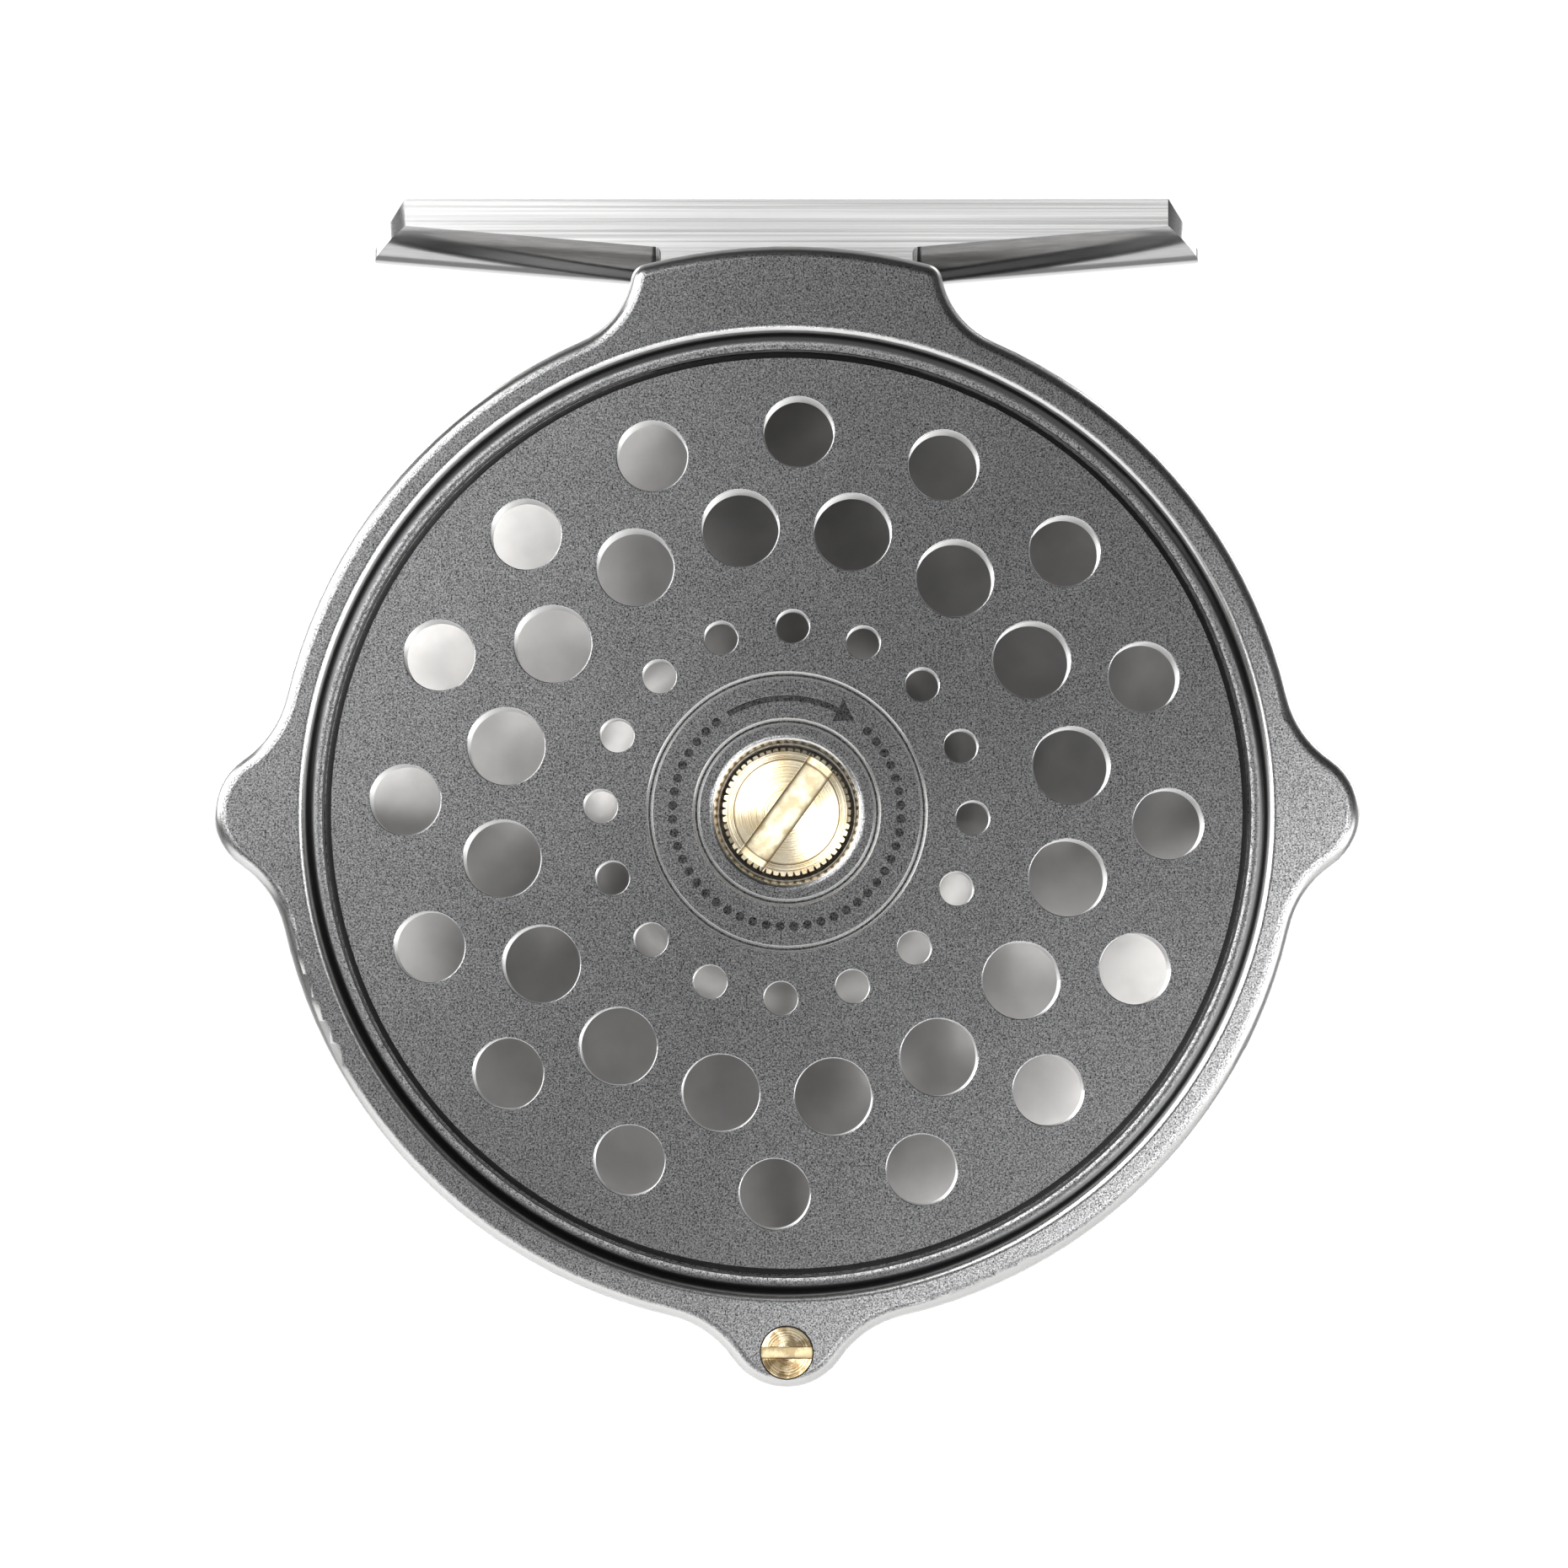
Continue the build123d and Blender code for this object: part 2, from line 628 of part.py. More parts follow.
def face_screw_spots():
    """Places of the four screws that hold the drum face to the arbor."""
    return [polar(7.6, 45.0 + 90.0 * index) for index in range(4)]


def ratchet_screw_spots():
    """Places of the four screws that hold the ratchet wheel."""
    return [polar(6.0, 90.0 * index) for index in range(4)]


def drum_core():
    """Arbor with its large fillet and the rear flange, turned from one piece."""
    corner = Vector(ARBOR_RADIUS + ARBOR_FILLET, REAR_FLANGE_FRONT - ARBOR_FILLET)
    arbor_end = Vector(ARBOR_RADIUS, corner.Y)
    flange_start = Vector(corner.X, REAR_FLANGE_FRONT)
    recess = SPIGOT_RADIUS + SPIGOT_GAP
    edge = FLANGE_EDGE_ROUNDING
    core = turned(
        Line((0, SPIGOT_END), (recess, SPIGOT_END)),
        Line((recess, SPIGOT_END), (recess, FACE_BACK)),
        Line((recess, FACE_BACK), (ARBOR_RADIUS, FACE_BACK)),
        Line((ARBOR_RADIUS, FACE_BACK), arbor_end),
        short_arc(arbor_end, corner, flange_start),
        Line(flange_start, (DRUM_RADIUS - edge, REAR_FLANGE_FRONT)),
        Line((DRUM_RADIUS - edge, REAR_FLANGE_FRONT), (DRUM_RADIUS, REAR_FLANGE_FRONT + edge)),
        Line((DRUM_RADIUS, REAR_FLANGE_FRONT + edge), (DRUM_RADIUS, REAR_FLANGE_BACK)),
        Line((DRUM_RADIUS, REAR_FLANGE_BACK), (0, REAR_FLANGE_BACK)),
        Line((0, REAR_FLANGE_BACK), (0, SPIGOT_END)),
    )
    shoulder = SPIGOT_END + 1.1
    core -= rod(2.6, SPIGOT_END, shoulder)
    width = DRIVE_FLATS + 2 * DRIVE_CLEARANCE
    core -= Pos(0, (shoulder + REAR_FLANGE_BACK) / 2, 0) * Box(width, REAR_FLANGE_BACK - shoulder, width)
    for spot in face_screw_spots():
        core -= rod(2.0, -7.5 - 1.4, REAR_FLANGE_BACK, spot.X, spot.Y)
        core -= rod(0.95, SPIGOT_END, -8.9, spot.X, spot.Y)
    for spot in ratchet_screw_spots():
        core -= rod(0.7, REAR_FLANGE_BACK - 3.0, REAR_FLANGE_BACK, spot.X, spot.Y)
    return core


def drum_face_screws():
    """Screws deep in the arbor's counterbores."""
    screws = []
    for spot in face_screw_spots():
        head = rod(1.7, -8.9, -7.5, spot.X, spot.Y)
        head = slotted(head, -7.9, -7.4, 0.45, 5.0, spot.X, spot.Y, 25.0)
        screws.append(head + rod(0.9, SPIGOT_END - 1.8, -8.9, spot.X, spot.Y))
    return Compound(screws)


def ratchet_wheel():
    """Toothed check wheel on the back of the drum."""
    pitch = 360.0 / RATCHET_TEETH
    points = []
    for index in range(RATCHET_TEETH):
        root = 90.0 + index * pitch
        points.append(polar(RATCHET_ROOT, root))
        points.append(polar(RATCHET_TIP, root + 0.5 * pitch - RATCHET_TOOTH_HALF_ANGLE))
        points.append(polar(RATCHET_TIP, root + 0.5 * pitch + RATCHET_TOOTH_HALF_ANGLE))
    wheel = slab(make_face(Polyline(*points, close=True)), REAR_FLANGE_BACK, RATCHET_BACK)
    wheel -= rod(4.4, REAR_FLANGE_BACK, RATCHET_BACK)
    for spot in ratchet_screw_spots():
        wheel -= countersunk_hole(1.3, 0.7, RATCHET_BACK, REAR_FLANGE_BACK, spot.X, spot.Y)
    return wheel


def ratchet_screws():
    screws = [
        countersunk_screw(1.3, 0.7, RATCHET_BACK, REAR_FLANGE_BACK - 2.6, spot.X, spot.Y, 30.0)
        for spot in ratchet_screw_spots()
    ]
    return Compound(screws)


def drum_screw():
    """Serrated and slotted screw with a dished head."""
    pitch = 360.0 / SERRATIONS
    points = []
    for index in range(SERRATIONS):
        points.append(polar(SCREW_HEAD_RADIUS, (index - TOOTH_HALF_SHARE) * pitch))
        points.append(polar(SCREW_HEAD_RADIUS, (index + TOOTH_HALF_SHARE) * pitch))
        points.append(polar(SCREW_HEAD_RADIUS - SERRATION_DEPTH, (index + 0.5) * pitch))
    head = slab(make_face(Polyline(*points, close=True)), SCREW_HEAD_FRONT, SCREW_HEAD_BACK)
    bevelled = SCREW_HEAD_FRONT + HEAD_BEVEL
    widest = SCREW_HEAD_RADIUS + BEVEL_CLEARANCE
    taper = cone(widest - HEAD_BEVEL, widest, SCREW_HEAD_FRONT, bevelled)
    head &= taper + rod(widest, bevelled, SCREW_HEAD_BACK)
    dish = (DISH_RADIUS**2 + DISH_DEPTH**2) / (2 * DISH_DEPTH)
    head -= Pos(0, SCREW_HEAD_FRONT + DISH_DEPTH - dish, 0) * Sphere(dish)
    line_inside = DISH_RADIUS - DISH_LINE_WIDTH / 3
    line_floor = SCREW_HEAD_FRONT + DISH_LINE_DEPTH
    head -= tube(line_inside, line_inside + DISH_LINE_WIDTH, SCREW_HEAD_FRONT, line_floor)
    head = slotted(
        head, SCREW_HEAD_FRONT - 0.1, SCREW_HEAD_FRONT + SLOT_DEPTH, SLOT_WIDTH, SLOT_LENGTH, turn=SLOT_ANGLE
    )
    return head + rod(SCREW_SHANK_RADIUS, SCREW_HEAD_BACK, SCREW_SHANK_END)


def drive_spindle():
    """Spindle: square nose for the drum, journal for the race, flange for the crank plate."""
    length = JOURNAL_START - SPINDLE_TIP
    nose = Pos(0, (SPINDLE_TIP + JOURNAL_START) / 2, 0) * Box(DRIVE_FLATS, length, DRIVE_FLATS)
    body = nose + rod(JOURNAL_RADIUS, JOURNAL_START, CRANK_FRONT)
    body += rod(5.4, RACE_BACK, RACE_BACK + 0.1)
    body += rod(SPINDLE_FLANGE, RACE_BACK + 0.1, CRANK_FRONT)
    body -= rod(SPINDLE_BORE, SPINDLE_TIP, SCREW_SHANK_END + 1.0)
    for spot in crank_screw_spots():
        body -= rod(0.8, CRANK_FRONT - 3.6, CRANK_FRONT, spot.X, spot.Y)
    return body


def spindle_nut():
    """Round nut that clamps the inner race."""
    nut = tube(JOURNAL_RADIUS, 5.4, 8.4, RACE_FRONT)
    for angle in (0.0, 180.0):
        spot = polar(4.75, angle)
        nut -= rod(0.35, 8.4, RACE_FRONT, spot.X, spot.Y)
    return nut


def race_groove():
    return Pos(0, BALL_Y, 0) * Rot(90, 0, 0) * Torus(BALL_CIRCLE, GROOVE_RADIUS)


def bearing_inner_race():
    return tube(JOURNAL_RADIUS, INNER_RACE_OUTSIDE, RACE_FRONT, RACE_BACK) - race_groove()


def bearing_outer_race():
    return tube(OUTER_RACE_INSIDE, OUTER_RACE_OUTSIDE, RACE_FRONT, RACE_BACK) - race_groove()


def bearing_balls():
    balls = []
    for index in range(BALL_COUNT):
        spot = polar(BALL_CIRCLE, index * 360.0 / BALL_COUNT)
        balls.append(Pos(spot.X, BALL_Y, spot.Y) * Sphere(BALL_RADIUS))
    return Compound(balls)


def bearing_retainer():
    """Ring that keeps the outer race in its hub, with two notches for a key."""
    ring = tube(8.05, OUTER_RACE_OUTSIDE, HUB_FRONT, RACE_FRONT)
    for side in (-1, 1):
        ring -= Pos(side * 8.3, HUB_FRONT, 0) * Box(0.9, 0.6, 0.9)
    return ring


def crank_screw_spots():
    """Places of the three screws in the middle of the crank plate."""
    return [polar(2.45, 90.0 + 120.0 * index) for index in range(3)]


def handle_plate():
    """Turning plate that carries the handle."""
    plate = rod(CRANK_RADIUS, CRANK_FRONT, CRANK_BACK)
    plate = fillet(plate.edges().sort_by(Axis.Y)[-1], 0.45)
    plate += rod(8.0, CRANK_BACK, CRANK_BACK + 0.4)
    boss_edge = plate.edges().sort_by(Axis.Y)[-1]
    plate = fillet(boss_edge, 0.25)
    plate -= tube(30.6, 31.2, CRANK_BACK - 0.25, CRANK_BACK + 1.0)
    plate -= rod(HANDLE_PIN, CRANK_FRONT, CRANK_BACK, 0, -HANDLE_OFFSET)
    for spot in crank_screw_spots():
        plate -= countersunk_hole(1.45, 0.8, CRANK_BACK + 0.4, CRANK_FRONT, spot.X, spot.Y)
    return plate


def handle_plate_screws():
    screws = [
        countersunk_screw(1.45, 0.8, CRANK_BACK + 0.4, CRANK_FRONT - 3.3, spot.X, spot.Y, 15.0)
        for spot in crank_screw_spots()
    ]
    return Compound(screws)


def handle_spindle():
    """Pin that the handle turns on, riveted into the crank plate."""
    pin = rod(HANDLE_PIN, CRANK_FRONT, KNOB_END - 1.1, 0, -HANDLE_OFFSET)
    return pin - rod(0.8, KNOB_END - 6.0, KNOB_END - 1.1, 0, -HANDLE_OFFSET)


def handle_collar():
    collar = tube(HANDLE_PIN, 3.9, CRANK_BACK, KNOB_START - 0.1, 0, -HANDLE_OFFSET)
    outer = collar.edges().sort_by(Axis.Y)[-2:]
    rim = [edge for edge in outer if edge.radius > 3.0]
    return fillet(rim, 0.4)


def handle_knob():
    """Handle knob: a slim waist at the plate and a fuller outer end."""
    outline = make_face(
        [
            Line((HANDLE_BUSH, KNOB_START), (3.3, KNOB_START)),
            Line((3.3, KNOB_START), (3.6, KNOB_START + 0.3)),
            Line((3.6, KNOB_START + 0.3), (3.6, KNOB_START + 1.0)),
            ThreePointArc((3.6, KNOB_START + 1.0), (3.35, KNOB_START + 3.2), (3.9, KNOB_START + 6.4)),
            ThreePointArc((3.9, KNOB_START + 6.4), (4.55, KNOB_END - 3.6), (3.2, KNOB_END)),
            Line((3.2, KNOB_END), (2.6, KNOB_END)),
            Line((2.6, KNOB_END), (2.6, KNOB_END - 1.2)),
            Line((2.6, KNOB_END - 1.2), (HANDLE_BUSH, KNOB_END - 1.2)),
            Line((HANDLE_BUSH, KNOB_END - 1.2), (HANDLE_BUSH, KNOB_START)),
        ]
    )
    return Pos(0, 0, -HANDLE_OFFSET) * revolve(outline, Axis.Y)


def handle_bush():
    return tube(HANDLE_PIN + 0.05, HANDLE_BUSH, KNOB_START, KNOB_END - 1.2, 0, -HANDLE_OFFSET)


def handle_end_screw():
    """Screw that keeps the knob on its pin."""
    front = KNOB_END - 1.1
    back = KNOB_END + 0.1
    head = rod(2.45, front, back, 0, -HANDLE_OFFSET)
    head = fillet(head.edges().sort_by(Axis.Y)[-1], 0.35)
    head = slotted(head, back - 0.5, back + 0.5, 0.6, 6.0, 0, -HANDLE_OFFSET, 60.0)
    return head + rod(0.8, KNOB_END - 5.6, front, 0, -HANDLE_OFFSET)


def pawl():
    """Lever pawl in mesh with the wheel: hub on its post and a nose between two teeth."""
    nose_width = 1.5
    nose_top = 10.2
    tip = RATCHET_ROOT + 0.3
    arm = make_face(
        Polyline(
            (0, tip),
            (nose_width, nose_top),
            (PAWL_PIVOT[0] - 0.6, PAWL_PIVOT[1] - PAWL_HUB),
            (PAWL_PIVOT[0] - 0.6, PAWL_PIVOT[1] + PAWL_HUB),
            (-1.2, 12.4),
            (-nose_width, nose_top),
            close=True,
        )
    )
    body = slab(arm, PAWL_FRONT, PAWL_BACK)
    body += rod(PAWL_HUB, PAWL_FRONT, PAWL_BACK, *PAWL_PIVOT)
    return body - rod(POST_RADIUS + 0.05, PAWL_FRONT, PAWL_BACK, *PAWL_PIVOT)


def half_turned(shape):
    """The same shape on the opposite side of the spool's axis."""
    return Rot(0, 180, 0) * shape


def spare_pawl():
    """Second pawl, parked clear of the wheel."""
    pivot = Pos(PAWL_PIVOT[0], 0, PAWL_PIVOT[1])
    lifted = pivot * Rot(0, PAWL_LIFT, 0) * pivot.inverse() * pawl()
    return half_turned(lifted)


def pawl_posts():
    post = rod(POST_RADIUS, PAWL_FRONT - 0.1, WEB_FRONT + 1.0, *PAWL_PIVOT)
    post += rod(1.7, PAWL_BACK + 0.1, WEB_FRONT, *PAWL_PIVOT)
    return Compound([post, half_turned(post)])


def spring_posts():
    post = rod(0.9, PAWL_FRONT, WEB_FRONT + 1.0, *SPRING_POST)
    return Compound([post, half_turned(post)])


def leaf_spring(lift):
    """Leaf that presses on a pawl, rolled round its post; lift turns it about the post."""
    y0 = PAWL_FRONT + 0.1
    y1 = PAWL_BACK - 0.1
    roll = tube(0.9, 0.9 + SPRING_THICKNESS, y0, y1)
    length = 15.2
    leaf = make_face(
        [
            ThreePointArc((0.0, -0.9), (0.5 * length, -1.9), (length, -0.9)),
            Line((length, -0.9), (length, -0.9 - SPRING_THICKNESS)),
            ThreePointArc(
                (length, -0.9 - SPRING_THICKNESS),
                (0.5 * length, -1.9 - SPRING_THICKNESS),
                (0.0, -0.9 - SPRING_THICKNESS),
            ),
            Line((0.0, -0.9 - SPRING_THICKNESS), (0.0, -0.9)),
        ]
    )
    spring = roll + slab(leaf, y0, y1)
    droop = 3.6
    return Pos(SPRING_POST[0], 0, SPRING_POST[1]) * Rot(0, droop - lift, 0) * spring


NODES = {
    "front_ring": front_ring,
    "back_plate": back_plate,
    "pillar_left": lambda: pillar(-1),
    "pillar_right": lambda: pillar(1),
    "pillar_screws": pillar_screws,
    "foot_bridge": foot_bridge,
    "bridge_screws": bridge_screws,
    "foot": foot,
    "foot_screws": foot_screws,
    "guard_pin": guard_pin,
    "guard_screw_front": lambda: guard_screw(-1),
    "guard_screw_back": lambda: guard_screw(1),
    "line_guard": line_guard,
    "drum_face": drum_face,
    "drum_core": drum_core,
    "drum_face_screws": drum_face_screws,
    "drum_screw": drum_screw,
    "ratchet_wheel": ratchet_wheel,
    "ratchet_screws": ratchet_screws,
    "drive_spindle": drive_spindle,
    "spindle_nut": spindle_nut,
    "bearing_inner_race": bearing_inner_race,
    "bearing_outer_race": bearing_outer_race,
    "bearing_balls": bearing_balls,
    "bearing_retainer": bearing_retainer,
    "handle_plate": handle_plate,
    "handle_plate_screws": handle_plate_screws,
    "handle_spindle": handle_spindle,
    "handle_collar": handle_collar,
    "handle_knob": handle_knob,
    "handle_bush": handle_bush,
    "handle_end_screw": handle_end_screw,
    "check_pawl": pawl,
    "spare_pawl": spare_pawl,
    "pawl_posts": pawl_posts,
    "check_spring": lambda: leaf_spring(0.0),
    "spare_spring": lambda: half_turned(leaf_spring(SPRING_LIFT)),
    "spring_posts": spring_posts,
}

os.makedirs("parts", exist_ok=True)
for name, make in NODES.items():
    export_step(make(), f"parts/{name}.step")
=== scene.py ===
import bpy
import json
import math
from mathutils import Matrix, Vector

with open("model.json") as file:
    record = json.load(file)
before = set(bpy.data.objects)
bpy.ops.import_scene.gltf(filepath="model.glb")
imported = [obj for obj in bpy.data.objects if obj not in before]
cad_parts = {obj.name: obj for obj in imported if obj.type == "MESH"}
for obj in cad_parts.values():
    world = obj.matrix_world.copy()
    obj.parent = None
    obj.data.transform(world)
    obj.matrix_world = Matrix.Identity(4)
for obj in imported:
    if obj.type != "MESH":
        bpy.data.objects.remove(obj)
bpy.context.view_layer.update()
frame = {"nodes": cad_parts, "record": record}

MM = 0.001

# Camera: in front of the perforated face, a little below the spool's axis
CAMERA_DISTANCE = 0.465
CAMERA_DROP = 0.0162
CAMERA_SIDE = -0.0002
CAMERA_AIM = Vector((-0.0002, -0.0155, 0.00205))
CAMERA_LENS = 144.8

# Grey of the surroundings from straight in front (0) to straight behind (1) the object
WORLD_GREYS = (
    (0.0, 0.12),
    (0.03, 0.11),
    (0.09, 0.03),
    (0.5, 0.03),
    (0.64, 0.4),
    (0.9, 0.4),
    (0.975, 0.3),
    (0.98, 1.0),
    (1.0, 1.0),
)
WORLD_STRENGTH = 1.05

BLASTED_GRAIN = 0.00012
BLASTED_ROUGHNESS = 0.30
FLAT_NORMAL = 0.985

# How far the flats' shading normals lean towards +X, towards +Z and outward, in radians. The lean is
# fitted to the look; the shape itself is square
DRUM_LEAN = (0.0, 0.0, 0.03)
RING_LEAN = (0.022, -0.042, 0.07)

# Drum face, in mm: radii of painted highlight lines at the engraved rings' edges, how wide they are lit, and
# the engraved floors, painted dark as shade
ENGRAVED_LINES = (6.51, 6.89, 9.96, 10.34)
EDGE_LIT = 0.05
EDGE_FADED = 0.11
ENGRAVED_FLOOR = -14.86
ENGRAVED_BAND = 10.5
# Radius, in mm, beyond which smooth surfaces are painted darker, as shade
RIM_START = 33.0

SMOOTH_GREY = (0.52, 0.52, 0.515)
RIM_SHADE_GREY = (0.15, 0.15, 0.15)
BLASTED_GREY = (0.13, 0.13, 0.1315)
ENGRAVED_SHADE_GREY = (0.05, 0.05, 0.051)
# Painted shade in the front ring's cove: a darker copy of the smooth grey at its lip, and its darkest grey
COVE_LIP_SHADE_GREY = (0.2, 0.2, 0.202)
COVE_DARKEST_SHADE_GREY = (0.042, 0.042, 0.0425)

# Section of the front ring's cove, in mm: radii where the shoulder starts, the cove ends and the flat
# lip begins, where its painted shade is darkest and where that shade gives way to the lit shoulder, and the
# two radii of curvature
COVE_START = 36.15
COVE_END = 34.508
COVE_LIP = 34.39
COVE_DARKEST = 35.1
SHOULDER_LIT_FROM = 35.5
SHOULDER_LIT_TO = 35.72
SHOULDER_CURVE = 0.6
COVE_CURVE = 1.1
FRONT_FACING = -0.1

# The two slotted brass heads that face the camera: centre x and z, half the slot's width, its direction
DRUM_SCREW_SLOT = (0.0, 0.0, 1.09, 54.0)
# Radius, in mm, of the turned groove on the drum screw's head, drawn as a painted dark line of shade
DRUM_SCREW_DISH = 3.88
GUARD_SCREW_SLOT = (0.0, -39.8, 0.45, 0.0)
# Radius, in mm, beyond which the guard screw's head is painted near-black as shade of the gap round it
GUARD_SCREW_SHADE_RIM = 1.95


class Graph:
    """A node material whose textures lie in the object's own frame, in metres."""

    def __init__(self, name):
        self.material = bpy.data.materials.new(name)
        self.material.use_nodes = True
        self.tree = self.material.node_tree
        self.shader = self.tree.nodes["Principled BSDF"]
        place = self.add("ShaderNodeTexCoord")
        self.point = place.outputs["Object"]
        self.normal = place.outputs["Normal"]
        parts = self.add("ShaderNodeSeparateXYZ")
        self.plug(parts.inputs[0], self.point)
        self.x, self.y, self.z = parts.outputs

    def add(self, kind, **settings):
        node = self.tree.nodes.new(kind)
        for key, value in settings.items():
            setattr(node, key, value)
        return node

    def plug(self, socket, value):
        if isinstance(value, bpy.types.NodeSocket):
            self.tree.links.new(value, socket)
        elif socket.type == "RGBA" and len(value) == 3:
            socket.default_value = (*value, 1.0)
        else:
            socket.default_value = value

    def set(self, **inputs):
        for key, value in inputs.items():
            self.plug(self.shader.inputs[key.replace("_", " ")], value)

    def math(self, operation, *values, clamp=False):
        node = self.add("ShaderNodeMath", operation=operation, use_clamp=clamp)
        for socket, value in zip(node.inputs, values):
            self.plug(socket, value)
        return node.outputs[0]

    def remap(self, value, low, high, to_low=0.0, to_high=1.0, smooth=True):
        node = self.add("ShaderNodeMapRange", interpolation_type="SMOOTHSTEP" if smooth else "LINEAR")
        for socket, number in zip(node.inputs, (value, low, high, to_low, to_high)):
            self.plug(socket, number)
        return node.outputs[0]

    def mix(self, factor, a, b):
        node = self.add("ShaderNodeMix", data_type="RGBA")
        self.plug(node.inputs["Factor"], factor)
        self.plug(node.inputs[6], a)
        self.plug(node.inputs[7], b)
        return node.outputs[2]

    def blend(self, factor, a, b):
        node = self.add("ShaderNodeMix", data_type="FLOAT")
        self.plug(node.inputs[0], factor)
        self.plug(node.inputs[2], a)
        self.plug(node.inputs[3], b)
        return node.outputs[0]

    def noise(self, size, detail=2.0, stretch=(1, 1, 1), roughness=0.5, distortion=0.0):
        """Noise whose grains are about size metres across, along axes scaled by stretch."""
        scale = self.add("ShaderNodeVectorMath", operation="MULTIPLY")
        self.plug(scale.inputs[0], self.point)
        self.plug(scale.inputs[1], tuple(1.0 / (size * s) for s in stretch))
        node = self.add("ShaderNodeTexNoise")
        self.plug(node.inputs["Vector"], scale.outputs[0])
        self.plug(node.inputs["Scale"], 1.0)
        self.plug(node.inputs["Detail"], detail)
        self.plug(node.inputs["Roughness"], roughness)
        self.plug(node.inputs["Distortion"], distortion)
        return node.outputs[0]

    def line_noise(self, value, size, detail=2.0):
        """Noise that only changes with value, such as the grooves of a turned face."""
        node = self.add("ShaderNodeTexNoise", noise_dimensions="1D")
        self.plug(node.inputs["W"], self.math("DIVIDE", value, size))
        self.plug(node.inputs["Scale"], 1.0)
        self.plug(node.inputs["Detail"], detail)
        return node.outputs[0]

    def bump(self, height, distance, strength=1.0, under=None):
        node = self.add("ShaderNodeBump")
        self.plug(node.inputs["Height"], height)
        self.plug(node.inputs["Distance"], distance)
        self.plug(node.inputs["Strength"], strength)
        if under is not None:
            self.plug(node.inputs["Normal"], under)
        return node.outputs[0]

    def leaning(self, across, up, outward, under=None):
        """Normal that leans a little towards +X by across, +Z by up and outward from the axis, in radians."""
        rise = self.math("ADD", self.math("MULTIPLY", self.x, across), self.math("MULTIPLY", self.z, up))
        rise = self.math("ADD", rise, self.math("MULTIPLY", self.radius(), outward))
        return self.bump(rise, -1.0, under=under)

    def cove_slope(self):
        """Sine of the slope of the front ring's turned cove; 0 on the flats either side of it."""
        radius = self.math("DIVIDE", self.radius(), MM)
        shoulder = self.math("DIVIDE", self.math("SUBTRACT", COVE_START, radius), SHOULDER_CURVE)
        cove = self.math("DIVIDE", self.math("SUBTRACT", radius, COVE_END), COVE_CURVE)
        return self.math("MAXIMUM", self.math("MINIMUM", shoulder, cove), 0.0)

    def cove_normal(self, slope, flatness):
        """World normal of the turned cove, from its slope and how squarely it faces the front."""
        radius = self.radius()
        inward = self.math("DIVIDE", slope, radius)
        parts = self.add("ShaderNodeCombineXYZ")
        self.plug(parts.inputs[0], self.math("MULTIPLY", self.math("MULTIPLY", inward, self.x), -1.0))
        self.plug(parts.inputs[1], self.math("MULTIPLY", flatness, -1.0))
        self.plug(parts.inputs[2], self.math("MULTIPLY", self.math("MULTIPLY", inward, self.z), -1.0))
        turn = self.add(
            "ShaderNodeVectorTransform", vector_type="NORMAL", convert_from="OBJECT", convert_to="WORLD"
        )
        self.plug(turn.inputs[0], parts.outputs[0])
        return turn.outputs[0]

    def cove_surface(self, facing, normal):
        """Where the front ring's turned cove is, and facing and normal with the cove's own put in."""
        slope = self.cove_slope()
        flatness = self.math("SQRT", self.math("SUBTRACT", 1.0, self.math("MULTIPLY", slope, slope)))
        toward_front = self.add("ShaderNodeSeparateXYZ")
        self.plug(toward_front.inputs[0], self.normal)
        in_front = self.math("LESS_THAN", toward_front.outputs[1], FRONT_FACING)
        outside_lip = self.math("GREATER_THAN", self.radius(), COVE_LIP * MM)
        inside_flat = self.math("LESS_THAN", self.radius(), COVE_START * MM)
        in_cove = self.math("MULTIPLY", self.math("MULTIPLY", in_front, outside_lip), inside_flat)
        turned = self.add("ShaderNodeMix", data_type="VECTOR")
        self.plug(turned.inputs[0], in_cove)
        self.plug(turned.inputs[4], normal)
        self.plug(turned.inputs[5], self.cove_normal(slope, flatness))
        return in_cove, self.blend(in_cove, facing, flatness), turned.outputs[1]

    def cove_painted_shade(self):
        """Painted shade of the cove: grey darkening from the lip to its darkest ring, then back to the smooth
        grey of the lit shoulder.
        """
        depth = self.remap(self.radius(), COVE_END * MM, COVE_DARKEST * MM)
        recess_shade = self.mix(depth, COVE_LIP_SHADE_GREY, COVE_DARKEST_SHADE_GREY)
        shoulder = self.remap(self.radius(), SHOULDER_LIT_FROM * MM, SHOULDER_LIT_TO * MM)
        return self.mix(shoulder, recess_shade, SMOOTH_GREY)

    def off_lines(self, lines):
        """0 on the painted highlight lines whose radii, in mm, are given, and 1 away from them."""
        radius = self.radius()
        glint = 0.0
        for line in lines:
            off = self.math("ABSOLUTE", self.math("SUBTRACT", radius, line * MM))
            glint = self.math("MAXIMUM", glint, self.remap(off, EDGE_LIT * MM, EDGE_FADED * MM, 1.0, 0.0))
        return self.math("SUBTRACT", 1.0, glint)

    def engraved_floor(self):
        """1 below the drum's face within the engraved band, where painted shade goes, 0 elsewhere."""
        sunk = self.math("GREATER_THAN", self.y, ENGRAVED_FLOOR * MM)
        in_band = self.math("LESS_THAN", self.radius(), ENGRAVED_BAND * MM)
        return self.math("MULTIPLY", sunk, in_band)

